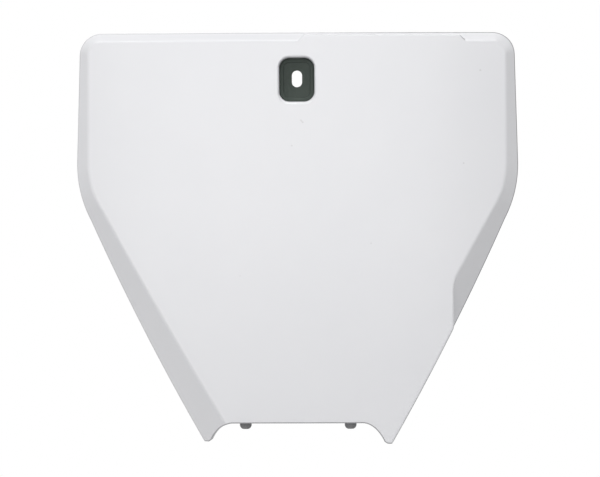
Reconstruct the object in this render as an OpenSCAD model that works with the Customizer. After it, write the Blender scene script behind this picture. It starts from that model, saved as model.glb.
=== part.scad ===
// Front number plate of an off-road motorcycle.
// X runs across the plate, Z up, and the face looks towards -Y.
// The origin is the centre of the upper bolt slot, on the plane of the face.

/* [Outline] */
// Height of the top edge above the bolt slot
top_z = 28.8; // [26:0.1:60]
// Width across the two sides at the top edge
top_w = 271; // [230:0.5:320]
// Width where the sides meet the slanting edges
shoulder_w = 277; // [240:0.5:330]
// Depth of that meeting below the bolt slot
shoulder_drop = 70.5; // [50:0.5:110]
// Width between the tips of the two feet
foot_span = 113; // [95:0.5:150]
// Depth of the foot tips below the bolt slot
foot_drop = 228.5; // [215:0.5:280]
// Depth of the straight lower edge below the bolt slot
bottom_drop = 214.2; // [190:0.1:225]
// Length of the straight lower edge between the feet
bottom_w = 82; // [70:0.5:92]
// How far the slanting edges swell outward at their middle
side_bow = 2.8; // [0:0.1:5]
// Radius of the two upper corners
top_corner_r = 14; // [6:0.5:20]
// Radius of the two shoulders
shoulder_r = 75; // [30:1:100]

/* [Face and bevel] */
// Wall of the moulding
wall = 2.2; // [1.6:0.1:3]
// How far the sides of the face fall back behind its middle
crown = 6; // [1:0.1:12]
// Width of the bevel along the top edge
bevel_top = 5.6; // [4:0.1:9]
// Width of the bevel at the shoulders
bevel_shoulder = 8.3; // [5:0.1:12]
// Width of the bevel at the feet
bevel_foot = 18.4; // [12:0.1:24]
// Extra width of the bevel at the middle of the slanting edges
bevel_swell = 1.4; // [0:0.1:3]
// Angle of the bevel from the plane of the face
bevel_angle = 50; // [35:1:65]
// Rounding along the crease between face and bevel
crease_r = 1.3; // [0.8:0.1:3]

/* [Cable cut-backs] */
// Distance from the bolt slot to the upright where the right bevel runs out
wing_x = 97; // [85:0.5:110]
// Length over which the crease eases into that upright
wing_blend = 4; // [1:0.5:10]
// Width of the bevel that is left below that upright
wing_bevel = 0.4; // [0.3:0.1:3]
// Where the raised stretch of the top edge begins
raised_from = 4.5; // [-60:0.5:30]
// Where the raised stretch of the top edge ends
raised_to = 101; // [60:0.5:112]
// Width of the bevel that is left along the raised stretch
raised_bevel = 1.8; // [0.8:0.1:4]

/* [Bolt recess] */
// Width of the recess
recess_w = 21.8; // [18:0.1:30]
// Height of the recess
recess_h = 27.4; // [22:0.1:36]
// Radius of its corners
recess_r = 6.4; // [3:0.1:8]
// Height of the middle of the recess above the bolt slot
recess_rise = -0.8; // [-3:0.1:3]
// Depth of the recess down to the pad
recess_depth = 9; // [5:0.1:14]
// Rounding where the recess meets the face
lip_r = 2.6; // [0.6:0.1:3.5]
// Width of the bolt slot in the pad
slot_w = 6.4; // [5:0.1:9]
// Height of the bolt slot in the pad
slot_h = 10.4; // [9.5:0.1:16]
// Thickness of the pad
pad_t = 3; // [1.5:0.1:5]
// Gap between the pad and the walls of the recess
pad_gap = 0.15; // [0.05:0.05:0.5]
// Margin of the moulded slot round the slot in the pad
slot_margin = 0.8; // [0.3:0.1:1.5]
// Width of the raised rim of the pad
pad_rim = 2.6; // [1:0.1:4]
// Height of that rim above the pad's middle
pad_rim_h = 0.8; // [0.2:0.1:1.2]

/* [Pegs] */
// Distance between the two pegs
peg_span = 65.4; // [50:0.2:84]
// Radius of the moulded peg
peg_r = 2.4; // [1.5:0.1:3]
// Radius of the cap on the peg
cap_r = 3.7; // [3.4:0.1:6]
// Gap between the peg and its cap
cap_gap = 0.1; // [0.05:0.05:0.3]
// How far the caps reach below the lower edge
cap_reach = 4; // [2:0.1:12]
// Length of the cap
cap_len = 17; // [12:0.5:22]
// Rounding at the lower end of the cap
cap_edge_r = 1.8; // [0.5:0.1:2.4]
// Thickness of the cap below the end of the peg
cap_floor = 2.6; // [1.5:0.1:5]
// Distance from the back of the face to the middle of the peg
peg_back = 9.5; // [7:0.1:16]
// Width of the bracket that carries a peg
bracket_w = 20; // [14:0.5:24]
// Height of the gussets above the bracket's shelf
gusset_h = 16; // [8:0.5:26]

/* [Ribs] */
// Thickness of the ribs and gussets
rib_t = 1.6; // [1:0.1:2.2]
// Length of the ribs beside the recess
rib_len = 16; // [8:0.5:28]

/* [Hidden] */
$fn = 64;
eps = 0.01;

// The loft runs on below the feet, and the lower edge is then cut out of it.
loft_extra = 30;
loft_z = -foot_drop - loft_extra;
face_centre = [0, -0.4 * foot_drop];
tip_r = 1.1;
// Least distance between two rings of points down the bevel
ring_gap = 0.3;

white = [0.93, 0.93, 0.93];
dark = [0.23, 0.25, 0.23];

function unit(v) = v / norm(v);
function left_of(v) = [-v[1], v[0]];
function clamp(v, low, high) = min(max(v, low), high);
function bezier(a, b, c, t) = (1 - t) * (1 - t) * a + 2 * t * (1 - t) * b + t * t * c;

// Points of the arc that rounds the corner b of the path a-b-c with radius r.
function rounded(a, b, c, r, count) =
    let (
        u = unit(a - b),
        v = unit(c - b),
        half = acos(u * v) / 2,
        middle = b + unit(u + v) * r / sin(half),
        from = b + u * r / tan(half) - middle,
        to = b + v * r / tan(half) - middle,
        start = atan2(from[1], from[0]),
        turn = atan2(from[0] * to[1] - from[1] * to[0], from * to)
    )
    [for (i = [0:count]) middle + r * [cos(start + turn * i / count), sin(start + turn * i / count)]];

// Points strictly between a and b, swelling to the right of the way from a to b.
function between(a, b, count, bow = 0) =
    [for (i = [1:count - 1])
        let (t = i / count)
        a + (b - a) * t - left_of(unit(b - a)) * bow * 4 * t * (1 - t)];

// Corners of the right-hand edge of the loft.
top_corner = [top_w / 2, top_z];
shoulder = [shoulder_w / 2, -shoulder_drop];
foot_tip = [foot_span / 2, -foot_drop];
loft_corner = shoulder + (foot_tip - shoulder) * (loft_z + shoulder_drop) / (shoulder_drop - foot_drop);

function flip(points) = [for (i = [len(points) - 1:-1:0]) [-points[i][0], points[i][1]]];

// Right half of the edge, anticlockwise from the lower middle to the upper middle.
shoulder_arc = rounded(loft_corner, shoulder, top_corner, shoulder_r, 9);
top_arc = rounded(shoulder, top_corner, [0, top_z], top_corner_r, 7);
jog = bevel_top - raised_bevel;
top_stops = [
    raised_to + jog + 4, raised_to + jog, raised_to + jog / 2, raised_to, raised_to - 4,
    0.6 * raised_to, 0.3 * raised_to + 0.7 * raised_from,
];
right_half = concat(
    between([0, loft_z], loft_corner, 3),
    [loft_corner],
    between(loft_corner, shoulder_arc[0], 32, side_bow),
    shoulder_arc,
    between(shoulder_arc[9], top_arc[0], 5),
    top_arc
);
edge = concat(
    right_half,
    [for (x = top_stops) [x, top_z]],
    [for (x = [raised_from + 4, raised_from, raised_from - jog, raised_from - jog - 4]) [x, top_z]],
    between([raised_from - jog - 4, top_z], [-top_arc[7][0], top_z], 6),
    flip(right_half),
    [[0, loft_z]]
);
count = len(edge);
ahead = [for (i = [0:count - 1]) unit(edge[(i + 1) % count] - edge[i])];
inward = [for (i = [0:count - 1]) left_of(unit(ahead[i] + ahead[(i + count - 1) % count]))];

// The smaller of a and b, eased from one to the other where they differ by less than blend.
function soft_min(a, b, blend) = min(a, b) - pow(max(blend - abs(a - b), 0), 2) / (4 * blend);

// Width of the bevel where nothing cuts it back, at height z.
function bevel_at(z) =
    z > -shoulder_drop
    ? bevel_top + (bevel_shoulder - bevel_top) * (top_z - z) / (top_z + shoulder_drop)
    : let (t = (-shoulder_drop - z) / (foot_drop - shoulder_drop))
    bevel_shoulder + (bevel_foot - bevel_shoulder) * t + bevel_swell * max(4 * t * (1 - t), 0);

// The same at a point of the edge, fading out where the loft ends below the feet.
function full_at(p) = bevel_at(p[1]) * clamp((p[1] - loft_z) / loft_extra * 1.5 - 0.5, 0.06, 1);

// Distance from the edge to the crease, with the cut-backs at the lower right and along the top.
function inset_at(p, n, full) =
    p[0] > 0 && p[1] < -shoulder_drop
    ? max(soft_min((p[0] - wing_x) / max(-n[0], 0.1), full, wing_blend), wing_bevel)
    : p[1] > top_z - eps
    ? clamp(max(raised_from - p[0], p[0] - raised_to) + raised_bevel, raised_bevel, full)
    : full;

// How far the face lies behind the plane of the slot at x.
function face_y(x) = crown * pow(2 * x / shoulder_w, 2);

full = [for (i = [0:count - 1]) full_at(edge[i])];
insets = [for (i = [0:count - 1]) inset_at(edge[i], inward[i], full[i])];
flange = [for (i = [0:count - 1]) bevel_at(edge[i][1]) * tan(bevel_angle)];
slope = [for (i = [0:count - 1]) atan2(flange[i], full[i])];
// Height of the upright wall between the face and the bevel where the bevel is cut back.
step = [for (i = [0:count - 1]) (full[i] - insets[i]) * tan(slope[i])];

// A point that lies d inward of the edge and dy behind the face at the crease.
function on_edge(i, d, dy) =
    let (p = edge[i] + inward[i] * d, crease = edge[i] + inward[i] * insets[i])
    [p[0], face_y(crease[0]) + dy, p[1]];

// A point of the face, or of its back at depth t, at share s of the way from the centre.
function on_face(i, d, s, t) =
    let (p = face_centre + (edge[i] + inward[i] * d - face_centre) * s)
    [p[0], face_y(p[0]) + t, p[1]];

face_shares = [0.25, 0.5, 0.75];
// The rounding of the crease ends crease_r below it, on the bevel or on the upright wall.
below_crease = [for (i = [0:count - 1])
    let (a = slope[i] + (90 - slope[i]) * clamp(step[i] / crease_r, 0, 1))
    [insets[i] - crease_r * cos(a), crease_r * sin(a)]];
// A point of the bevel, just below the upright wall where there is one.
below_step = [for (i = [0:count - 1])
    let (y = min(max(step[i] + ring_gap, 2 * crease_r * sin(slope[i])), flange[i] - 2 * ring_gap))
    [full[i] - y / tan(slope[i]), y]];
// The back of the moulding: its bend behind the crease, and its point behind the foot of the upright wall.
inner = [for (i = [0:count - 1]) min(full[i] + wall * tan(slope[i] / 2), insets[i] + wall)];
inner_step = [for (i = [0:count - 1])
    let (
        foot = step[i] + wall * (1 / sin(slope[i]) - 1) * tan(slope[i]),
        y = min(max(wall + crease_r, foot), flange[i] - 2 * ring_gap)
    )
    [full[i] - y / tan(slope[i]) + wall / sin(slope[i]), y]];

shell_rings = concat(
    [for (s = face_shares) [for (i = [0:count - 1]) on_face(i, insets[i] + crease_r, s, 0)]],
    [[for (i = [0:count - 1]) on_face(i, insets[i] + crease_r, 1, 0)]],
    [[for (i = [0:count - 1]) bezier(
        on_face(i, insets[i] + crease_r, 1, 0), on_edge(i, insets[i], 0),
        on_edge(i, below_crease[i][0], below_crease[i][1]), 0.5)]],
    [[for (i = [0:count - 1]) on_edge(i, below_crease[i][0], below_crease[i][1])]],
    [[for (i = [0:count - 1]) on_edge(i, below_step[i][0], below_step[i][1])]],
    [[for (i = [0:count - 1]) on_edge(i, 0, flange[i])]],
    [[for (i = [0:count - 1]) on_edge(i, wall / sin(slope[i]), flange[i])]],
    [[for (i = [0:count - 1]) on_edge(i, inner_step[i][0], inner_step[i][1])]],
    [[for (i = [0:count - 1]) on_edge(i, inner[i], wall)]],
    [for (k = [2:-1:0]) [for (i = [0:count - 1]) on_face(i, inner[i] + crease_r, face_shares[k], wall)]]
);

// Closes a stack of equal rings into a solid, with a fan to the middle of each end.
module loft(rings, first, last) {
    size = len(rings[0]);
    points = concat([first], [for (ring = rings) each ring], [last]);
    sides = [for (k = [0:len(rings) - 2], i = [0:size - 1])
        let (a = 1 + k * size + i, b = 1 + k * size + (i + 1) % size)
        each [[a, b, a + size], [b, b + size, a + size]]];
    front = [for (i = [0:size - 1]) [0, 1 + (i + 1) % size, 1 + i]];
    tail = 1 + (len(rings) - 1) * size;
    back = [for (i = [0:size - 1]) [len(points) - 1, tail + i, tail + (i + 1) % size]];
    polyhedron(points, concat(front, sides, back), convexity = 8);
}

module shell() {
    loft(
        shell_rings,
        [face_centre[0], face_y(0), face_centre[1]],
        [face_centre[0], face_y(0) + wall, face_centre[1]]
    );
}

// Turns a drawing in X and Z into a bar along Y, from y to y + length.
module along_y(y, length) {
    translate([0, y + length, 0]) rotate([90, 0, 0]) linear_extrude(length) children();
}

// Everything below the lower edge, with the hollow inner side of each foot.
foot_inner = bottom_w / 2;
foot_edge = [for (i = [0:10]) bezier(
    [foot_inner, -bottom_drop],
    [foot_inner + 0.6 * (foot_span / 2 - foot_inner), -bottom_drop - 1],
    [foot_span / 2 - 2 * tip_r, -foot_drop + tip_r],
    i / 10)];
module below_edge() {
    right = concat(foot_edge, [[foot_span / 2 - tip_r, -foot_drop], [shoulder_w, -foot_drop]]);
    base = [[shoulder_w, loft_z - 10], [-shoulder_w, loft_z - 10]];
    along_y(-10, 80) polygon(concat(base, flip(right), right));
}

module rounded_rectangle(w, h, r) {
    translate([-w / 2 + r, -h / 2]) square([w - 2 * r, h]);
    translate([-w / 2, -h / 2 + r]) square([w, h - 2 * r]);
    for (x = [-1, 1], z = [-1, 1]) translate([x * (w / 2 - r), z * (h / 2 - r)]) circle(r);
}

module slot(w, h) {
    translate([-w / 2, -(h - w) / 2]) square([w, h - w]);
    for (z = [-1, 1]) translate([0, z * (h - w) / 2]) circle(w / 2);
}

// The rounded mouth of the recess: rings that widen towards the face.
function rectangle_ring(w, h, r, y) =
    [for (q = [0:3], k = [0:6])
        let (turn = 90 * q + 15 * k, x = (q == 0 || q == 3) ? 1 : -1, z = q < 2 ? 1 : -1)
        [x * (w / 2 - r) + r * cos(turn), y, z * (h / 2 - r) + r * sin(turn) + recess_rise]];
module recess_mouth() {
    // The last ring lies just inside the recess, so that the two cuts cross cleanly.
    swell = [for (a = [0:18:90]) lip_r * (1 - sin(a)) - 0.1];
    rings = concat(
        [rectangle_ring(recess_w + 2 * lip_r, recess_h + 2 * lip_r, recess_r + lip_r, -1)],
        [for (k = [0:5])
            rectangle_ring(recess_w + 2 * swell[k], recess_h + 2 * swell[k], recess_r + swell[k],
                lip_r * (1 - cos(18 * k)))]
    );
    loft(rings, [0, -1, recess_rise], [0, lip_r, recess_rise]);
}

floor_y = recess_depth + pad_t;
module recess_block() {
    along_y(wall / 2, floor_y + wall - wall / 2)
        translate([0, recess_rise])
            rounded_rectangle(recess_w + 2 * wall, recess_h + 2 * wall, recess_r + wall);
}

// A rib that stands on the back of the face and falls away from the recess wall.
module rib(start, length, height) {
    rotate([90, 0, 90]) translate([0, 0, -rib_t / 2]) linear_extrude(rib_t)
        polygon([[wall / 2, start], [wall / 2, start + length], [wall + 1, start + length], [height, start]]);
}

peg_y = wall + peg_back;
shelf_z = cap_len - cap_reach - bottom_drop;
module peg_bracket() {
    reach = peg_y + cap_r + 1;
    translate([-bracket_w / 2, wall / 2, shelf_z]) cube([bracket_w, reach - wall / 2, wall]);
    for (x = [-1, 1])
        translate([x * (bracket_w - rib_t) / 2 - rib_t / 2, 0, shelf_z + wall / 2])
            rotate([90, 0, 90]) linear_extrude(rib_t)
                polygon([
                    [wall / 2, 0], [reach, 0], [reach, wall],
                    [wall + 1, gusset_h], [wall / 2, gusset_h],
                ]);
    peg_len = cap_len - cap_floor - cap_gap;
    translate([0, peg_y, shelf_z - peg_len]) cylinder(h = peg_len + wall / 2, r = peg_r);
}

module number_board() {
    color(white)
    difference() {
        union() {
            shell();
            recess_block();
            for (x = [-1, 1]) translate([x * peg_span / 2, face_y(peg_span / 2), 0]) peg_bracket();
            for (turn = [90, 180, 270])
                translate([0, 0, recess_rise]) rotate([0, turn, 0])
                    rib((turn == 180 ? recess_h : recess_w) / 2 + wall / 2, rib_len, floor_y);
        }
        below_edge();
        along_y(-1, floor_y + 1) translate([0, recess_rise]) rounded_rectangle(recess_w, recess_h, recess_r);
        recess_mouth();
        along_y(floor_y - 1, wall + 2) slot(slot_w + 2 * slot_margin, slot_h + 2 * slot_margin);
    }
}

module mount_pad() {
    color(dark)
    difference() {
        along_y(recess_depth, pad_t) translate([0, recess_rise])
            rounded_rectangle(recess_w - 2 * pad_gap, recess_h - 2 * pad_gap, recess_r - pad_gap);
        along_y(recess_depth - 1, 1 + pad_rim_h) translate([0, recess_rise])
            rounded_rectangle(recess_w - 2 * pad_rim, recess_h - 2 * pad_rim, recess_r - pad_rim);
        along_y(recess_depth - 1, pad_t + 2) slot(slot_w, slot_h);
    }
}

// A soft cap with a rounded end, pushed up over the peg and turned from half its section.
module peg_cap() {
    bore_r = peg_r + cap_gap;
    rounding = [for (a = [-90:15:0])
        [cap_r - cap_edge_r * (1 - cos(a)), cap_edge_r * (1 + sin(a))]];
    translate([0, peg_y, shelf_z - cap_len]) rotate_extrude()
        polygon(concat(
            [[0, 0]], rounding,
            [[cap_r, cap_len], [bore_r, cap_len], [bore_r, cap_floor], [0, cap_floor]]
        ));
}

module left_peg_cap() {
    color(dark) translate([-peg_span / 2, face_y(peg_span / 2), 0]) peg_cap();
}

module right_peg_cap() {
    color(dark) translate([peg_span / 2, face_y(peg_span / 2), 0]) peg_cap();
}

number_board();
mount_pad();
left_peg_cap();
right_peg_cap();
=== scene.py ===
"""Front number plate of an off-road motorcycle: finely rounded pieces, finish, light and camera.

Everything is in metres. X runs across the plate, Z up, and the face looks towards -Y.
The origin is on the axis of the upper bolt slot, level with the middle of the face.
"""
import math

import bmesh
import bpy
import numpy as np
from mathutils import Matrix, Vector
from mathutils.bvhtree import BVHTree
from mathutils.kdtree import KDTree


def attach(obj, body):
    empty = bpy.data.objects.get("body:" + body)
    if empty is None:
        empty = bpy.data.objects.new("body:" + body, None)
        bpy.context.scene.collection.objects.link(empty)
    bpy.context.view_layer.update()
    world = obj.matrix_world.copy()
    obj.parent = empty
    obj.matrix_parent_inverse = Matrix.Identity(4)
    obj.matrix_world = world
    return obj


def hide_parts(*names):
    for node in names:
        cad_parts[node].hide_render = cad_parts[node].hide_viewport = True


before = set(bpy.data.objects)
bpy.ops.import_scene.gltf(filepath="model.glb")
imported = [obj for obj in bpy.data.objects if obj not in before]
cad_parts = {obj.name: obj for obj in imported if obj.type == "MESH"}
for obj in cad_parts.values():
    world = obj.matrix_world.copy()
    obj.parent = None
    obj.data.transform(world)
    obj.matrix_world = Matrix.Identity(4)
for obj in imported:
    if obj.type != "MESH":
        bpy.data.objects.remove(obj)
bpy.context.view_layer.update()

MM = 0.001

# Outline of the plate
TOP_Z = 0.0288
TOP_W = 0.271
SHOULDER_W = 0.277
SHOULDER_Z = -0.0705
FOOT_SPAN = 0.113
FOOT_Z = -0.2285
BOTTOM_Z = -0.2142
BOTTOM_W = 0.082
SIDE_BOW = 0.0028
TOP_CORNER_R = 0.014
SHOULDER_R = 0.075

# Face and bevel
WALL = 0.0022
CROWN = 0.006
BEVEL_TOP = 0.0056
BEVEL_SHOULDER = 0.0083
BEVEL_FOOT = 0.0184
BEVEL_SWELL = 0.0014
BEVEL_SLOPE = math.tan(math.radians(50))
CORNER_SWELL = 0.0015
CORNER_REACH = 1.5 * TOP_CORNER_R
CREASE_R = 0.0013
RIM_R = 0.0006

# Cut-backs for hose and cables: the wing on the lower right, and the right half of the top edge
WING_X = 0.097
WING_BEVEL = 0.0004
WING_BLEND = 0.004
RAISED_FROM = 0.0045
RAISED_TO = 0.101
RAISED_BEVEL = 0.0018

# Rings of the shell: the point to which those of the face shrink, the innermost as a share of the
# face, how many the face has, the steps round the crease, the plain strip of bevel next to the rim,
# and the least gap
FACE_CENTRE = np.array([0, 0.4 * FOOT_Z])
INNERMOST = 0.08
FACE_RINGS = 12
CREASE_STEPS = 8
EDGE_LINE = 0.0013
RING_GAP = 0.0003

# The shell is drawn on below the feet, where its bevel fades at this rate to the least share, and the
# lower edge is then cut out of it
LOFT_EXTRA = 0.030
LOFT_Z = FOOT_Z - LOFT_EXTRA
LOFT_CORNER_R = 0.012
FADE_RATE = 1.5
LEAST_FADE = 0.06

# Feet: how far a tip lies out from the outline's and above it, where the hollow beside it bends, as a
# share of the foot's width, and how far inside the tip the hollow ends
TIP_R = 0.0011
LEFT_TIP_OUT = 0.0003
LEFT_TIP_RISE = 0.0020
LEFT_BEND = 0.545
LEFT_FLAT = 2 * TIP_R
RIGHT_TIP_RISE = 0.0015
RIGHT_BEND = 0.49
RIGHT_FLAT = 2.35 * TIP_R

# Cut of the lower edge: how far it reaches, how deep it stays square to the surface, and its rounded
# front edge, which starts a hair in front of the surface
CUT_FRONT = -0.01
CUT_BACK = 0.07
CUT_BELOW = 0.01
CUT_DEPTH = 0.0026
EDGE_R = 0.0009
EDGE_LIFT = 0.02 * MM

# The front is found by rays from this far out, where the normal's Y is below this, and its lean is
# then evened out in so many passes
RAY_START = -0.05
FACING_FRONT = -0.3
LEAN_PASSES = 14

# Recess with its uneven mouth, pad and slot for the upper bolt
RECESS_W = 0.0218
RECESS_H = 0.0274
RECESS_R = 0.0064
RECESS_RISE = -0.0008
RECESS_DEPTH = 0.009
LIP_DEPTH = 0.0026
LIP_SIDE = 0.0014
LIP_TOP = 0.0012
LIP_LOW = 0.003
SLOT_W = 0.0064
SLOT_H = 0.0104
SLOT_MARGIN = 0.0008
PAD_T = 0.003
PAD_GAP = 0.00015
PAD_EDGE_R = 0.0005
PAD_RIM = 0.0026
PAD_RIM_H = 0.0008
RIB_T = 0.0016
RIB_LEN = 0.016

# Pegs, their caps and their brackets
PEG_SPAN = 0.0654
PEG_R = 0.0024
PEG_BACK = 0.0095
CAP_R = 0.0037
CAP_GAP = 0.0001
CAP_REACH = 0.004
CAP_LEN = 0.017
CAP_TURN = 0.00243
CAP_DOME = 0.00288
CAP_RIM_R = 0.0004
CAP_FLOOR = 0.0026
BRACKET_W = 0.020
GUSSET_H = 0.016

# Painted shade along the edge, which darkens its colour: at the rim it grows with X from the least to 1,
# the lower edge and the end of the raised part have the half one, and a vertex has to be this near to
# have either
LEAST_SHADE = 0.35
SHADE_SPAN = 0.1
HALF_SHADE = 0.6
SHADE_REACH = 0.06 * MM

# The crease has painted shade from this step of its rounding on where the bevel is narrower than
# this, and half as much from an earlier one at the end of the raised part
SHADE_STEP = 5
SHADE_BEVEL = 0.0012
HALF_SHADE_STEP = 3

# Points closer than this are one point
WELD = 1e-7
BOARD_WELD = 3e-6

# Small nicks in the face: X, Z and radius
NICKS = [(0.0026, -0.0262, 0.0007), (0.0031, -0.0268, 0.0007), (0.0036, -0.0275, 0.0006),
         (-0.0032, -0.0419, 0.0006), (0.1035, -0.0531, 0.0007), (0.1140, 0.0046, 0.0008),
         (0.0458, -0.1027, 0.0006), (-0.0354, -0.1225, 0.0005)]

# Angles of the points round a peg or cap
AROUND = np.linspace(0, 2 * math.pi, 49)[:-1]


def quarter(steps):
    """The angles of a quarter turn in equal steps."""
    return np.radians(np.linspace(0, 90, steps + 1))


def unit(v):
    return v / np.linalg.norm(v)


def left_of(v):
    return np.stack([-v[..., 1], v[..., 0]], -1)


def left_normals(outline):
    """Unit normal to the left of a closed outline at each of its points."""
    ahead = np.roll(outline, -1, 0) - outline
    ahead /= np.linalg.norm(ahead, axis=1)[:, None]
    normals = left_of(ahead + np.roll(ahead, 1, 0))
    return normals / np.linalg.norm(normals, axis=1)[:, None]


def bezier(a, b, c, t):
    return (1 - t) ** 2 * a + 2 * t * (1 - t) * b + t * t * c


def rounded(a, b, c, r, count):
    """Points of the arc that rounds the corner b of the path a-b-c."""
    u, v = unit(a - b), unit(c - b)
    half = math.acos(u @ v) / 2
    middle = b + unit(u + v) * r / math.sin(half)
    start, end = b + u * r / math.tan(half) - middle, b + v * r / math.tan(half) - middle
    first = math.atan2(start[1], start[0])
    turn = math.atan2(start[0] * end[1] - start[1] * end[0], start @ end)
    angles = first + turn * np.linspace(0, 1, count + 1)
    return middle + r * np.stack([np.cos(angles), np.sin(angles)], 1)


def between(a, b, count, bow=0.0):
    """Points strictly between a and b, swelling to the right of the way from a to b."""
    t = np.arange(1, count)[:, None] / count
    return a + (b - a) * t - left_of(unit(b - a)) * bow * 4 * t * (1 - t)


def flip(points):
    """The same path on the other side of the plate, run the other way."""
    return points[::-1] * [-1, 1]


def soft_min(a, b, blend):
    """The smaller of a and b, eased from one to the other where they differ by less than blend."""
    return np.minimum(a, b) - np.maximum(blend - np.abs(a - b), 0) ** 2 / (4 * blend)


def plate_edge():
    """Edge of the uncut shell, anticlockwise from the lower middle as the camera sees it."""
    top_corner = np.array([TOP_W / 2, TOP_Z])
    shoulder = np.array([SHOULDER_W / 2, SHOULDER_Z])
    foot_tip = np.array([FOOT_SPAN / 2, FOOT_Z])
    low = np.array([0, LOFT_Z])
    corner = shoulder + (foot_tip - shoulder) * (LOFT_Z - SHOULDER_Z) / (FOOT_Z - SHOULDER_Z)
    low_arc = rounded(low, corner, shoulder, LOFT_CORNER_R, count=8)
    shoulder_arc = rounded(corner, shoulder, top_corner, SHOULDER_R, count=30)
    top_arc = rounded(shoulder, top_corner, np.array([0, TOP_Z]), TOP_CORNER_R, count=20)
    half = np.concatenate([
        between(low, low_arc[0], count=5),
        low_arc,
        between(low_arc[-1], shoulder_arc[0], count=110, bow=SIDE_BOW),
        shoulder_arc,
        between(shoulder_arc[-1], top_arc[0], count=24),
        top_arc])
    jog = BEVEL_TOP - RAISED_BEVEL
    start = top_arc[-1][0]
    # Along the top edge: where each stretch ends, and in how many steps
    stretches = [
        (RAISED_TO + jog, 11), (RAISED_TO, 5), (RAISED_FROM, 29), (RAISED_FROM - jog, 5), (-start, 35)]
    top = []
    for end, steps in stretches:
        top.extend(np.linspace(start, end, steps + 1)[1:])
        start = end
    top = np.array([(x, TOP_Z) for x in top[:-1]])
    return np.concatenate([half, top, flip(half), [low]])


def bevel_at(z):
    """Width of the bevel where nothing cuts it back."""
    upper = BEVEL_TOP + (BEVEL_SHOULDER - BEVEL_TOP) * (TOP_Z - z) / (TOP_Z - SHOULDER_Z)
    t = (SHOULDER_Z - z) / (SHOULDER_Z - FOOT_Z)
    swell = BEVEL_SWELL * np.maximum(4 * t * (1 - t), 0)
    lower = BEVEL_SHOULDER + (BEVEL_FOOT - BEVEL_SHOULDER) * t + swell
    return np.where(z > SHOULDER_Z, upper, lower)


def face_y(x):
    """How far the face lies behind the plane of its middle."""
    return CROWN * (2 * x / SHOULDER_W) ** 2


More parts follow.
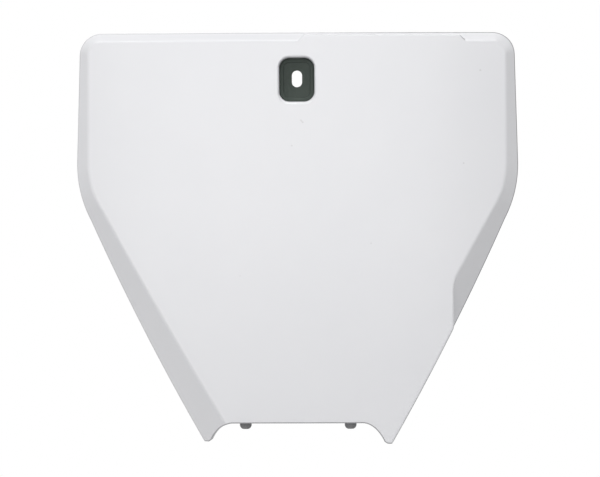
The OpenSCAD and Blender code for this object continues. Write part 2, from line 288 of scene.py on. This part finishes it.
class Shell:
    """The edge of the plate with what the section needs at each of its points.

    full is the width of the uncut bevel, inset the width that is left of it, flange how far it
    sweeps back, slope its angle, step the height of the upright wall where it is cut back, and
    crease_y the depth of the face where it ends. rings() also notes which points get painted shade.
    """

    def __init__(self):
        self.edge = plate_edge()
        self.inward = left_normals(self.edge)
        x, z = self.edge.T
        fade = np.clip((z - LOFT_Z) / LOFT_EXTRA * FADE_RATE - (FADE_RATE - 1), LEAST_FADE, 1)
        near_corner = (x > 0) & (z > TOP_Z - CORNER_REACH)
        corner = np.where(near_corner, np.abs(2 * self.inward[:, 0] * self.inward[:, 1]), 0)
        full = bevel_at(z) * fade + CORNER_SWELL * corner ** 2
        # On the wing the face runs out to the line X = WING_X, and the bevel is what is left outside it.
        sideways = np.maximum(-self.inward[:, 0], 0.1)
        wing = np.maximum(soft_min((x - WING_X) / sideways, full, WING_BLEND), WING_BEVEL)
        raised = np.maximum(RAISED_FROM - x, x - RAISED_TO) + RAISED_BEVEL
        raised = np.clip(raised, RAISED_BEVEL, full)
        on_top = z > TOP_Z - WELD
        self.inset = np.where((x > 0) & (z < SHOULDER_Z), wing, np.where(on_top, raised, full))
        self.full = full
        self.flange = bevel_at(z) * BEVEL_SLOPE
        self.slope = np.arctan2(self.flange, full)
        self.step = (full - self.inset) * np.tan(self.slope)
        self.crease_y = face_y((self.edge + self.inward * self.inset[:, None])[:, 0])

    def on_edge(self, d, dy):
        """Points that lie d inward of the edge and dy behind the face at the crease."""
        p = self.edge + self.inward * d[:, None]
        return np.stack([p[:, 0], self.crease_y + dy, p[:, 1]], 1)

    def on_face(self, d, share, depth):
        """Points of the face, or of its back, at a share of the way out from the centre."""
        p = FACE_CENTRE + (self.edge + self.inward * d[:, None] - FACE_CENTRE) * share
        return np.stack([p[:, 0], face_y(p[:, 0]) + depth, p[:, 1]], 1)

    def on_bevel(self, depth, thick=0.0):
        """Points at a depth on the plane of the bevel, or that far inward of it."""
        return self.on_edge(self.full - depth / np.tan(self.slope) + thick, depth)

    def rings(self):
        """Rings from the middle of the face out over the bevel and back to its middle behind."""
        full, inset, flange, slope, step = self.full, self.inset, self.flange, self.slope, self.step
        shares = np.linspace(INNERMOST, 1, FACE_RINGS + 1)[:-1]
        thirds = np.linspace(0, 1, 4)

        # Rounded crease, then the wall of a cut-back or the start of the bevel
        start = self.on_face(inset + CREASE_R, 1, 0)
        crease = self.on_edge(inset, 0 * inset)
        lean = slope + (math.pi / 2 - slope) * np.clip(step / CREASE_R, 0, 1)
        below = self.on_edge(inset - CREASE_R * np.cos(lean), CREASE_R * np.sin(lean))
        rounding = [bezier(start, crease, below, t) for t in np.linspace(0, 1, CREASE_STEPS + 1)]
        depth = np.maximum(step + RING_GAP, 2 * CREASE_R * np.sin(slope))
        foot = self.on_bevel(np.minimum(depth, flange - EDGE_LINE - RING_GAP))
        # A close ring below the crease keeps the shading of the rounding off the wall.
        down = foot - below
        lip = below + down * np.minimum(0.3, RING_GAP / np.linalg.norm(down, axis=1))[:, None]

        # Bevel and rounded rim
        line = self.on_bevel(flange - EDGE_LINE * np.sin(slope))
        near_depth = flange - RIM_R * np.sin(slope)
        near = self.on_bevel(near_depth)
        rim = self.on_bevel(flange)
        over = self.on_edge(0 * inset + RIM_R, flange)

        # The same form behind, one wall further in
        thick = WALL / np.sin(slope)
        over_inner = self.on_edge(thick - RIM_R, flange)
        rim_inner = self.on_bevel(flange, thick)
        near_inner = self.on_bevel(near_depth, thick)
        behind = np.maximum(WALL + CREASE_R, step + WALL * (1 / np.sin(slope) - 1) * np.tan(slope))
        behind = np.minimum(behind, flange - 2 * RING_GAP)
        inner_foot = self.on_bevel(behind, thick)
        inner = np.minimum(full + WALL * np.tan(slope / 2), inset + WALL)
        bend = self.on_edge(inner, 0 * inner + WALL)
        # The bend behind is rounded over the crease's radius, or most of the way where that is too long.
        low = bend + (inner_foot - bend) * np.minimum(0.8, CREASE_R / (behind - WALL))[:, None]
        back = self.on_face(inner + CREASE_R, 1, WALL)

        x, z = self.edge.T
        jog_end = RAISED_TO + BEVEL_TOP - RAISED_BEVEL
        jog = (x > RAISED_TO + RING_GAP) & (x < jog_end) & (z > TOP_Z - MM)
        wing = (x > 0) & (z < SHOULDER_Z) & (inset < SHADE_BEVEL)
        # Points whose colour gets painted shade: the rim, and the crease where the wing leaves it narrow;
        # half as much at the end of the raised part.
        self.painted_shade = np.concatenate([near, rim, over] + [ring[wing] for ring in rounding[SHADE_STEP:]])
        self.half_painted_shade = np.concatenate([ring[jog] for ring in rounding[HALF_SHADE_STEP:]])
        return (
            [self.on_face(inset + CREASE_R, share, 0) for share in shares]
            + rounding
            + [lip]
            + [foot + (line - foot) * t for t in thirds]
            + [near]
            + [bezier(near, rim, over, t) for t in thirds[1:]]
            + [bezier(over_inner, rim_inner, near_inner, t) for t in thirds]
            + [inner_foot]
            + [bezier(low, bend, back, t) for t in thirds]
            + [self.on_face(inner + CREASE_R, share, WALL) for share in shares[::-1]])


def new_object(name, points, faces):
    mesh = bpy.data.meshes.new(name)
    mesh.from_pydata([tuple(map(float, p)) for p in points], [], faces)
    mesh.validate()
    mesh.update()
    obj = bpy.data.objects.new(name, mesh)
    bpy.context.scene.collection.objects.link(obj)
    return obj


def clean(obj, gap=WELD):
    """Joins points closer than the gap, drops idle points and empty faces, and turns normals outward."""
    bm = bmesh.new()
    bm.from_mesh(obj.data)
    bmesh.ops.remove_doubles(bm, verts=bm.verts, dist=gap)
    bmesh.ops.dissolve_degenerate(bm, edges=bm.edges, dist=gap)
    bmesh.ops.dissolve_verts(bm, verts=[v for v in bm.verts if len(v.link_edges) == 2])
    bmesh.ops.recalc_face_normals(bm, faces=bm.faces)
    bm.to_mesh(obj.data)
    bm.free()


def skin(name, rings, loop=False):
    """A closed skin over equal rings: round in a loop, or closed by a fan at each end."""
    size = len(rings[0])
    points = np.concatenate(rings)
    pairs = len(rings) if loop else len(rings) - 1
    faces = []
    for k in range(pairs):
        a0, b0 = k * size, (k + 1) % len(rings) * size
        for i in range(size):
            j = (i + 1) % size
            faces.append((a0 + i, b0 + i, b0 + j, a0 + j))
    if not loop:
        last = len(rings) - 1
        points = np.concatenate([points, [rings[0].mean(0)], [rings[last].mean(0)]])
        first_middle, last_middle = len(points) - 2, len(points) - 1
        for i in range(size):
            j = (i + 1) % size
            faces.append((first_middle, i, j))
            faces.append((last_middle, last * size + j, last * size + i))
    obj = new_object(name, points, faces)
    clean(obj)
    return obj


def prism(name, outline, low, high, place):
    """A bar whose section is the outline, between low and high, with place(a, b, t) giving its points."""
    rings = [np.array([place(a, b, t) for a, b in outline]) for t in (low, high)]
    size = len(outline)
    points = np.concatenate(rings)
    faces = [tuple(range(size)), tuple(range(2 * size - 1, size - 1, -1))]
    faces += [(i, i + size, (i + 1) % size + size, (i + 1) % size) for i in range(size)]
    obj = new_object(name, points, faces)
    clean(obj)
    return obj


def combine(obj, other, operation):
    """Joins another solid to obj, or cuts it out, and removes the other."""
    modifier = obj.modifiers.new("solid", "BOOLEAN")
    modifier.object = other
    modifier.operation = operation
    modifier.solver = "EXACT"
    graph = bpy.context.evaluated_depsgraph_get()
    mesh = bpy.data.meshes.new_from_object(obj.evaluated_get(graph))
    obj.modifiers.clear()
    old = obj.data
    obj.data = mesh
    bpy.data.meshes.remove(old)
    bpy.data.objects.remove(other)


def smooth(obj, degrees):
    """Smooth shading with edges sharper than the angle kept crisp and large faces kept even."""
    obj.data.polygons.foreach_set("use_smooth", [True] * len(obj.data.polygons))
    obj.data.set_sharp_from_angle(angle=math.radians(degrees))
    even = obj.modifiers.new("even", "WEIGHTED_NORMAL")
    even.keep_sharp = True


def along_y(a, b, t):
    return (a, t, b)


def at_depth(outline, y):
    return np.stack([outline[:, 0], np.full(len(outline), y), outline[:, 1]], 1)


def rounded_rectangle(w, h, r, rise=RECESS_RISE):
    """Points of a rounded rectangle, anticlockwise in X and Z."""
    points = []
    steps = 12
    for corner in range(4):
        cx = (w / 2 - r) * (1 if corner in (0, 3) else -1)
        cz = (h / 2 - r) * (1 if corner < 2 else -1)
        for k in range(steps + 1):
            turn = math.radians(90 * corner + 90 * k / steps)
            points.append((cx + r * math.cos(turn), cz + r * math.sin(turn) + rise))
    return np.array(points)


def slot_outline(w, h):
    return rounded_rectangle(w, h, w / 2, rise=0)


def foot_side(tip, low, bend, flat):
    """From the middle of the lower edge along the hollow side of a foot and out below its tip."""
    inner = BOTTOM_W / 2
    a = np.array([inner, BOTTOM_Z])
    b = np.array([inner + bend * (tip - inner), BOTTOM_Z - MM])
    c = np.array([tip - flat, low + TIP_R])
    curve = np.array([bezier(a, b, c, t) for t in np.linspace(0, 1, 33)])
    end = between(np.array([tip - TIP_R, low]), np.array([tip + 2 * TIP_R, low]), count=9)
    return np.concatenate([between(np.array([0, BOTTOM_Z]), a, count=12), curve, end, [[SHOULDER_W, low]]])


def lower_cut(shell):
    """The solid below the lower edge and the hollow feet, and the points of the edge that it rounds."""
    left = foot_side(FOOT_SPAN / 2 + LEFT_TIP_OUT, FOOT_Z + LEFT_TIP_RISE, LEFT_BEND, LEFT_FLAT)
    right = foot_side(FOOT_SPAN / 2, FOOT_Z + RIGHT_TIP_RISE, RIGHT_BEND, RIGHT_FLAT)
    base = np.array([[SHOULDER_W, LOFT_Z - CUT_BELOW], [-SHOULDER_W, LOFT_Z - CUT_BELOW]])
    outline = np.concatenate([base, flip(left), right])
    outward = left_normals(outline)
    tree = BVHTree.FromObject(shell, bpy.context.evaluated_depsgraph_get())

    def front_of(points):
        """Depth and lean of the shell's front at each point, or at the nearest that has one."""
        hits = [tree.ray_cast(Vector((x, RAY_START, z)), Vector((0, 1, 0))) for x, z in points]
        found = [i for i, hit in enumerate(hits) if hit[0] and hit[1].y < FACING_FRONT]
        size = len(hits)
        nearest = [min(found, key=lambda k: min(abs(k - i), size - abs(k - i))) for i in range(size)]
        normals = [hits[k][1] for k in nearest]
        return np.array([hits[k][0].y for k in nearest]), np.array([(n.x / n.y, n.z / n.y) for n in normals])

    rings = [at_depth(outline + outward * EDGE_R, CUT_FRONT)]
    for angle in quarter(4):
        ring = outline + outward * EDGE_R * (1 - math.sin(angle))
        depth, lean = front_of(ring)
        depth += EDGE_R * (1 - math.cos(angle)) - EDGE_LIFT
        rings.append(np.stack([ring[:, 0], depth, ring[:, 1]], 1))
    # Behind its front edge the cut runs square to the surface, so its shift follows the surface's lean.
    for _ in range(LEAN_PASSES):
        lean = (np.roll(lean, 1, 0) + 2 * lean + np.roll(lean, -1, 0)) / 4
    shifted = outline + lean * CUT_DEPTH
    rings.append(np.stack([shifted[:, 0], depth + CUT_DEPTH, shifted[:, 1]], 1))
    rings.append(at_depth(shifted, CUT_BACK))
    return skin("lower_cut", rings), np.concatenate(rings[2:-1])


# Depths and heights that follow from the sizes above
PAD_BACK = RECESS_DEPTH + PAD_T
PEG_Y = WALL + PEG_BACK
SHELF_Z = CAP_LEN - CAP_REACH + BOTTOM_Z
FACE_DROP = face_y(PEG_SPAN / 2)


def recess_cut():
    """The recess with its rolled mouth, which is widest below."""
    def mouth(share, y):
        side, top, low = share * LIP_SIDE, share * LIP_TOP, share * LIP_LOW
        w, h = RECESS_W + 2 * side, RECESS_H + top + low
        return at_depth(rounded_rectangle(w, h, RECESS_R + side, RECESS_RISE + (top - low) / 2), y)

    rings = [mouth(1, -MM)]
    rings += [mouth(1 - math.sin(angle), LIP_DEPTH * (1 - math.cos(angle))) for angle in quarter(12)]
    rings.append(mouth(0, PAD_BACK))
    return skin("recess_cut", rings)


def add_recess(board):
    """Adds the block that the recess is cut from, with a rib on each side of it and one below."""
    block = rounded_rectangle(RECESS_W + 2 * WALL, RECESS_H + 2 * WALL, RECESS_R + WALL)
    combine(board, prism("block", block, WALL / 2, PAD_BACK + WALL, along_y), "UNION")

    def sideways(side):
        return lambda a, b, t: (side * b, a, t + RECESS_RISE)

    def downward(a, b, t):
        return (t, a, RECESS_RISE - b)

    for size, place in ((RECESS_W, sideways(-1)), (RECESS_H, downward), (RECESS_W, sideways(1))):
        near = size / 2 + WALL / 2
        far = near + RIB_LEN
        section = [(WALL / 2, near), (WALL / 2, far), (WALL + MM, far), (PAD_BACK, near)]
        combine(board, prism("rib", section, -RIB_T / 2, RIB_T / 2, place), "UNION")


def add_peg(board, side):
    """Adds a shelf behind the face with its two gussets, and the peg that hangs from it."""
    x = side * PEG_SPAN / 2
    start, reach = WALL / 2, PEG_Y + CAP_R + MM
    edges = [x - BRACKET_W / 2, x + BRACKET_W / 2]
    floor, top = SHELF_Z, SHELF_Z + WALL
    section = [(edges[0], floor), (edges[1], floor), (edges[1], top), (edges[0], top)]
    combine(board, prism("shelf", section, start + FACE_DROP, reach + FACE_DROP, along_y), "UNION")

    gusset = [(start, 0), (reach, 0), (reach, WALL), (WALL + MM, GUSSET_H), (start, GUSSET_H)]
    for end in (-1, 1):
        middle = x + end * (BRACKET_W - RIB_T) / 2

        def upright(a, b, t, middle=middle):
            return (middle + t, a + FACE_DROP, b + SHELF_Z + WALL / 2)
        combine(board, prism("gusset", gusset, -RIB_T / 2, RIB_T / 2, upright), "UNION")

    def hanging(a, b, t):
        return (x + a, PEG_Y + FACE_DROP + b, t)

    ring = [(PEG_R * math.cos(a), PEG_R * math.sin(a)) for a in AROUND]
    tip = SHELF_Z - CAP_LEN + CAP_FLOOR + CAP_GAP
    combine(board, prism("peg", ring, tip, SHELF_Z + WALL / 2, hanging), "UNION")


def number_board():
    """The white shell, one moulding with its recess, ribs, brackets and pegs."""
    edge = Shell()
    rings = edge.rings()
    shell = skin("shell", rings)
    board = skin("board", rings)
    add_recess(board)
    for side in (-1, 1):
        add_peg(board, side)
    cutter, cut_edge = lower_cut(shell)
    combine(board, cutter, "DIFFERENCE")
    bpy.data.objects.remove(shell)
    combine(board, recess_cut(), "DIFFERENCE")
    hole = slot_outline(SLOT_W + 2 * SLOT_MARGIN, SLOT_H + 2 * SLOT_MARGIN)
    combine(board, prism("hole", hole, PAD_BACK - MM, PAD_BACK + WALL + MM, along_y), "DIFFERENCE")
    clean(board, BOARD_WELD)
    board.name = "white_shell"
    # Painted shade: the rim, the lower edge and the end of the raised part are marked to be darkened in
    # colour.
    shade_edges(board, edge, cut_edge)
    smooth(board, degrees=30)
    return board


def shade_edges(obj, edge, cut):
    """Marks the vertices whose colour gets painted shade along the moulding's edge, most at the rim on the
    right.
    """
    places = np.concatenate([edge.painted_shade, edge.half_painted_shade, cut])
    # Painted shade at the rim, darker towards the right.
    painted_shade = np.clip(LEAST_SHADE + edge.painted_shade[:, 0] / SHADE_SPAN, LEAST_SHADE, 1)
    shades = np.concatenate([painted_shade, np.full(len(edge.half_painted_shade) + len(cut), HALF_SHADE)])
    tree = KDTree(len(places))
    for i, place in enumerate(places):
        tree.insert(Vector(place), i)
    tree.balance()
    nearest = [tree.find(v.co) for v in obj.data.vertices]
    shade = obj.data.attributes.new("painted_edge_shade", "FLOAT", "POINT")
    values = [shades[i] if distance < SHADE_REACH else 0.0 for _, i, distance in nearest]
    shade.data.foreach_set("value", values)


def mount_pad():
    """The pad with the slot: rings run over its front, out to its wall and back behind."""
    w, h, r = RECESS_W - 2 * PAD_GAP, RECESS_H - 2 * PAD_GAP, RECESS_R - PAD_GAP
    front, back = RECESS_DEPTH, PAD_BACK
    middle = front + PAD_RIM_H

    def outer(inset, y):
        return at_depth(rounded_rectangle(w - 2 * inset, h - 2 * inset, r - inset), y)

    def tray(grow, y):
        rim = PAD_RIM - grow
        return at_depth(rounded_rectangle(RECESS_W - 2 * rim, RECESS_H - 2 * rim, RECESS_R - rim), y)

    def inner(grow, y):
        return at_depth(slot_outline(SLOT_W + 2 * grow, SLOT_H + 2 * grow), y)

    turns = quarter(4)
    edge = [(PAD_EDGE_R * (1 - math.cos(t)), PAD_EDGE_R * (1 - math.sin(t))) for t in turns]
    fillet = PAD_EDGE_R / 2
    rings = [outer(a, back - b) for a, b in edge[::-1]]
    rings += [outer(a, front + b) for a, b in edge]
    rings += [tray(a, front + b) for a, b in edge[::-1]]
    rings += [tray(-fillet * math.sin(t), middle - fillet * math.cos(t)) for t in turns]
    rings += [inner(a, middle + b) for a, b in edge[::-1]]
    rings += [inner(0, front + 0.6 * PAD_T), inner(0, back)]
    pad = skin("slotted_pad", rings, loop=True)
    smooth(pad, degrees=40)
    return pad


def peg_cap(name, side):
    """A soft cap with a rounded end round the peg, hollow from above."""
    x, y = side * PEG_SPAN / 2, PEG_Y + FACE_DROP
    low, top = SHELF_Z - CAP_LEN, SHELF_Z
    bore = PEG_R + CAP_GAP
    flat = CAP_R - CAP_TURN
    profile = [(flat / 4, low), (0.7 * flat, low)]
    profile += [(flat + CAP_TURN * math.sin(a), low + CAP_DOME * (1 - math.cos(a))) for a in quarter(9)]
    profile += [(CAP_R, low + 0.6 * CAP_LEN), (CAP_R, top - CAP_RIM_R), (CAP_R - CAP_RIM_R, top)]
    profile += [(bore, top), (bore, low + CAP_FLOOR)]
    rings = [np.array([(x + r * math.cos(a), y + r * math.sin(a), z) for a in AROUND]) for r, z in profile]
    cap = skin(name, rings)
    smooth(cap, degrees=50)
    return cap


def add_node(tree, kind, **values):
    """A new node with values for its inputs, by their names, or for its own properties."""
    node = tree.nodes.new(kind)
    for key, value in values.items():
        if key in node.inputs:
            node.inputs[key].default_value = value
        else:
            setattr(node, key, value)
    return node


def noise(tree, place, scale, detail, roughness):
    """A noise texture in the object's own space."""
    node = add_node(tree, "ShaderNodeTexNoise", Scale=scale, Detail=detail, Roughness=roughness)
    tree.links.new(place.outputs["Object"], node.inputs["Vector"])
    return node


def two_tones(tree, factor, low, dark, high, light):
    """A ramp from the dark colour at low to the light one at high."""
    ramp = tree.nodes.new("ShaderNodeValToRGB")
    for element, position, colour in zip(ramp.color_ramp.elements, (low, high), (dark, light)):
        element.position = position
        element.color = (*colour, 1)
    tree.links.new(factor, ramp.inputs["Fac"])
    return ramp.outputs["Color"]


def blend(tree, factor, a, b):
    """Mixes the colour b into the output a."""
    mix = add_node(tree, "ShaderNodeMix", data_type="RGBA", blend_type="MIX")
    tree.links.new(factor, mix.inputs["Factor"])
    tree.links.new(a, mix.inputs["A"])
    mix.inputs["B"].default_value = (*b, 1)
    return mix.outputs["Result"]


def spread(tree, factor, low, high):
    """Maps a noise value, which is mostly from 0.25 to 0.75, to the range from low to high."""
    node = add_node(tree, "ShaderNodeMapRange", **{
        "From Min": 0.25, "From Max": 0.75, "To Min": low, "To Max": high})
    tree.links.new(factor, node.inputs["Value"])
    return node.outputs["Result"]


def largest(tree, values):
    """The largest of several values at each point."""
    total = values[0]
    for value in values[1:]:
        most = add_node(tree, "ShaderNodeMath", operation="MAXIMUM")
        tree.links.new(total, most.inputs[0])
        tree.links.new(value, most.inputs[1])
        total = most.outputs[0]
    return total


def relief(tree, shader, height, strength, distance):
    bump = add_node(tree, "ShaderNodeBump", Strength=strength, Distance=distance)
    tree.links.new(height, bump.inputs["Height"])
    tree.links.new(bump.outputs["Normal"], shader.inputs["Normal"])


def new_material(name):
    material = bpy.data.materials.new(name)
    material.use_nodes = True
    tree = material.node_tree
    return material, tree, tree.nodes["Principled BSDF"]


# White plastic
WHITE_CLOUDED = (0.778, 0.781, 0.805)
WHITE_CLEAR = (0.802, 0.803, 0.824)
NICK_GREY = (0.42, 0.41, 0.40)
NICK_STRENGTH = 0.33
# Grey that the painted shade on the edge blends towards
EDGE_SHADE_GREY = (0.10, 0.10, 0.105)
WHITE_IOR = 1.58

# Rubber: the bloom is paler than the light tone by this factor
DARK_TONES = (0.037, 0.052, 0.042), (0.051, 0.067, 0.056)
GREY_TONES = (0.18, 0.18, 0.185), (0.23, 0.23, 0.235)
BLOOM_PALER = 1.6
BLOOM_MOST = (0.25, 0.25, 0.25)


def specks(tree, place):
    """How strongly each point is marked by one of the few small nicks in the face."""
    ragged = noise(tree, place, scale=900.0, detail=2.0, roughness=0.5)
    moved = add_node(tree, "ShaderNodeVectorMath", operation="MULTIPLY_ADD")
    tree.links.new(ragged.outputs["Color"], moved.inputs[0])
    moved.inputs[1].default_value = (MM, MM, MM)
    tree.links.new(place.outputs["Object"], moved.inputs[2])
    marks = []
    for x, z, radius in NICKS:
        away = add_node(tree, "ShaderNodeVectorMath", operation="DISTANCE")
        tree.links.new(moved.outputs["Vector"], away.inputs[0])
        # The noise moves every point by about half a millimetre along each axis, and the nick with it.
        away.inputs[1].default_value = (x + MM / 2, face_y(x) + MM / 2, z + MM / 2)
        mark = add_node(tree, "ShaderNodeMapRange", **{
            "From Min": 0.3 * radius, "From Max": radius, "To Min": NICK_STRENGTH, "To Max": 0.0})
        tree.links.new(away.outputs["Value"], mark.inputs["Value"])
        marks.append(mark.outputs["Result"])
    return largest(tree, marks)


def plastic(name):
    """Glossy white moulded plastic: cloudy tone, faint ripple, a few nicks and painted shade along the
    trimmed edge.
    """
    material, tree, shader = new_material(name)
    place = tree.nodes.new("ShaderNodeTexCoord")
    shader.inputs["IOR"].default_value = WHITE_IOR
    cloud = noise(tree, place, scale=9.0, detail=4.0, roughness=0.55)
    tone = two_tones(tree, cloud.outputs["Fac"], low=0.3, dark=WHITE_CLOUDED, high=0.7, light=WHITE_CLEAR)
    tone = blend(tree, specks(tree, place), tone, NICK_GREY)
    # Painted shade: the colour is darkened towards grey along the edges that shade_edges marks.
    edge = add_node(tree, "ShaderNodeAttribute", attribute_name="painted_edge_shade")
    tone = blend(tree, edge.outputs["Fac"], tone, EDGE_SHADE_GREY)
    tree.links.new(tone, shader.inputs["Base Color"])
    haze = noise(tree, place, scale=30.0, detail=3.0, roughness=0.5)
    tree.links.new(spread(tree, haze.outputs["Fac"], low=0.18, high=0.22), shader.inputs["Roughness"])
    ripple = noise(tree, place, scale=70.0, detail=2.0, roughness=0.5)
    relief(tree, shader, ripple.outputs["Fac"], strength=0.03, distance=0.0004)
    return material


def rubber(name, dark, light):
    """Dull rubber with a cloudy tone, a powdery bloom and a fine grain."""
    material, tree, shader = new_material(name)
    place = tree.nodes.new("ShaderNodeTexCoord")
    cloud = noise(tree, place, scale=180.0, detail=5.0, roughness=0.6)
    tone = two_tones(tree, cloud.outputs["Fac"], low=0.3, dark=dark, high=0.7, light=light)
    bloom = noise(tree, place, scale=700.0, detail=3.0, roughness=0.7)
    dust = two_tones(tree, bloom.outputs["Fac"], low=0.55, dark=(0, 0, 0), high=0.8, light=BLOOM_MOST)
    tone = blend(tree, dust, tone, tuple(BLOOM_PALER * v for v in light))
    tree.links.new(tone, shader.inputs["Base Color"])
    tree.links.new(spread(tree, cloud.outputs["Fac"], low=0.55, high=0.72), shader.inputs["Roughness"])
    grain = noise(tree, place, scale=1500.0, detail=3.0, roughness=0.6)
    relief(tree, shader, grain.outputs["Fac"], strength=0.25, distance=0.0002)
    return material


def dress(obj, material, node):
    """Gives a piece its material and lets it stand for its solid."""
    obj.data.materials.clear()
    obj.data.materials.append(material)
    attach(obj, "root")
    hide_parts(node)


WHITE = plastic("white_plastic")
DARK = rubber("dark_rubber", *DARK_TONES)
GREY = rubber("grey_rubber", *GREY_TONES)
dress(number_board(), WHITE, "number_board")
dress(mount_pad(), DARK, "mount_pad")
dress(peg_cap("left_cap", -1), GREY, "left_peg_cap")
dress(peg_cap("right_cap", 1), GREY, "right_peg_cap")
FINISH = {"number_board": WHITE, "mount_pad": DARK, "left_peg_cap": GREY, "right_peg_cap": GREY}
for node_name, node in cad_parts.items():
    node.data.materials.clear()
    node.data.materials.append(FINISH[node_name])

# Floor, backdrop and fill light
FLOOR_Z = -0.46
FLOOR_HALF = 1.1
FLOOR_GREY = (0.8, 0.8, 0.8)
FLOOR_ROUGHNESS = 0.8
FLOOR_GLOW = 0.6
FILL_STRENGTH = 0.4


def seen_rays(tree):
    """1 on the rays that show things, straight, mirrored or through something, and 0 on the rest."""
    path = tree.nodes.new("ShaderNodeLightPath")
    kinds = ("Is Camera Ray", "Is Glossy Ray", "Is Transmission Ray")
    return largest(tree, [path.outputs[kind] for kind in kinds])


def pale_floor():
    """A matt floor that keeps the shadow and is seen paler than its light makes it."""
    material, tree, shader = new_material("pale_floor")
    shader.inputs["Base Color"].default_value = (*FLOOR_GREY, 1)
    shader.inputs["Roughness"].default_value = FLOOR_ROUGHNESS
    glow = add_node(tree, "ShaderNodeEmission", Color=(1, 1, 1, 1), Strength=1.0)
    share = add_node(tree, "ShaderNodeMath", operation="MULTIPLY")
    share.inputs[1].default_value = FLOOR_GLOW
    mix = tree.nodes.new("ShaderNodeMixShader")
    tree.links.new(seen_rays(tree), share.inputs[0])
    tree.links.new(share.outputs[0], mix.inputs["Fac"])
    tree.links.new(shader.outputs[0], mix.inputs[1])
    tree.links.new(glow.outputs[0], mix.inputs[2])
    tree.links.new(mix.outputs[0], tree.nodes["Material Output"].inputs["Surface"])
    return material


def surroundings():
    """A white backdrop for what is seen and a soft grey fill for the object's light."""
    world = bpy.data.worlds.new("studio")
    bpy.context.scene.world = world
    world.use_nodes = True
    tree = world.node_tree
    tree.nodes.clear()
    seen = add_node(tree, "ShaderNodeBackground", Color=(1, 1, 1, 1), Strength=1.0)
    fill = add_node(tree, "ShaderNodeBackground", Color=(1, 1, 1, 1), Strength=FILL_STRENGTH)
    mix = tree.nodes.new("ShaderNodeMixShader")
    out = tree.nodes.new("ShaderNodeOutputWorld")
    tree.links.new(seen_rays(tree), mix.inputs["Fac"])
    tree.links.new(fill.outputs[0], mix.inputs[1])
    tree.links.new(seen.outputs[0], mix.inputs[2])
    tree.links.new(mix.outputs[0], out.inputs["Surface"])


def soft_lamp(name, place, target, size, power):
    data = bpy.data.lights.new(name, "AREA")
    data.shape = "RECTANGLE"
    data.size, data.size_y = size
    data.energy = power
    lamp = bpy.data.objects.new(name, data)
    lamp.location = place
    lamp.rotation_euler = (Vector(target) - Vector(place)).to_track_quat("-Z", "Y").to_euler()
    bpy.context.scene.collection.objects.link(lamp)


corners = [(-1, -1), (1, -1), (1, 1), (-1, 1)]
floor = new_object("floor", [(x * FLOOR_HALF, y * FLOOR_HALF, FLOOR_Z) for x, y in corners], [(0, 1, 2, 3)])
floor.data.materials.append(pale_floor())
surroundings()

MIDDLE = (0, 0, -0.1)
soft_lamp("front", place=(-0.13, -2.4, 0.38), target=MIDDLE, size=(1.2, 1.2), power=10.9)
soft_lamp("top", place=(0.0, -0.5, 1.15), target=MIDDLE, size=(1.6, 0.2), power=9.9)
soft_lamp("left", place=(-1.4, -0.9, 0.1), target=MIDDLE, size=(1.0, 1.2), power=3.1)

# Camera: the photograph is 600 by 477 pixels, a pixel is 0.62 mm at the face, and the lens
# stands a little to the right of the middle.
PHOTO_W = 600
PIXEL = 0.00062
SENSOR_W = 36
DISTANCE = 2.0
YAW = math.radians(1.1)
ROLL = math.radians(0.2)
AIM = Vector((0.00175, 0.0, -0.0995))
camera_data = bpy.data.cameras.new("camera")
camera_data.sensor_width = SENSOR_W
camera_data.lens = SENSOR_W * DISTANCE / (PHOTO_W * PIXEL)
camera = bpy.data.objects.new("camera", camera_data)
camera.location = AIM + DISTANCE * Vector((math.sin(YAW), -math.cos(YAW), 0))
camera.rotation_euler = (AIM - camera.location).to_track_quat("-Z", "Y").to_euler()
camera.rotation_euler.rotate_axis("Z", -ROLL)
bpy.context.scene.collection.objects.link(camera)
bpy.context.scene.camera = camera
bpy.context.scene.view_settings.view_transform = "Standard"
